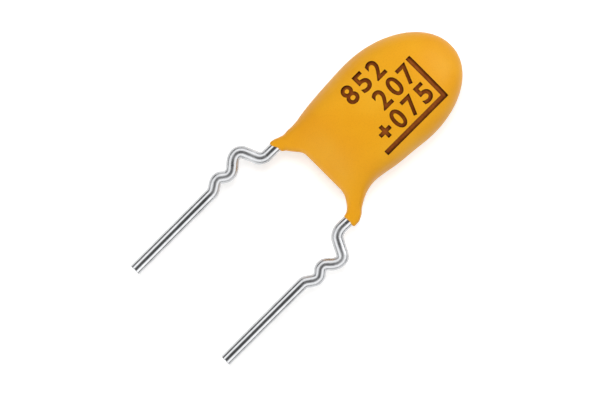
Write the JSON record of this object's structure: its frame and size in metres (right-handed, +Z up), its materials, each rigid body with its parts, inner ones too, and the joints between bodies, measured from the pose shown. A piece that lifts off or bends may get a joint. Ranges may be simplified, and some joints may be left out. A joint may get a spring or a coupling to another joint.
{
  "type": "tantalum capacitor",
  "caption": "Dipped radial tantalum capacitor: a golden resin teardrop with an arched underside between its feet, and kinked tinned wire leads.",
  "frame": {"origin": "on the surface that it lies on, under the centre of its bounding box", "axes": "+Z up, out of the marked face; +Y along the leads, from their cut tips towards the crown of the body; +X across the leads, towards the positive lead"},
  "size_m": [0.0064, 0.0152, 0.003],
  "materials": {
    "resin": "glossy golden dipped epoxy",
    "tinned_wire": "bright tinned wire",
    "tantalum_sinter": "porous sintered grey",
    "tantalum_wire": "drawn grey-blue wire",
    "ptfe": "matte white",
    "dioxide": "matte black",
    "graphite": "dull dark grey",
    "silver_paint": "matte silver paint",
    "solder": "satin solder",
    "weld": "satin weld metal"
  },
  "bodies": {
    "root": {"epoxy_coating": "resin", "positive_lead": "tinned_wire", "negative_lead": "tinned_wire", "anode_slug": "tantalum_sinter", "anode_riser_wire": "tantalum_wire", "insulating_washer": "ptfe", "manganese_dioxide_layer": "dioxide", "graphite_layer": "graphite", "silver_layer": "silver_paint", "solder_joint": "solder", "weld_bead": "weld"}
  },
  "joints": []
}
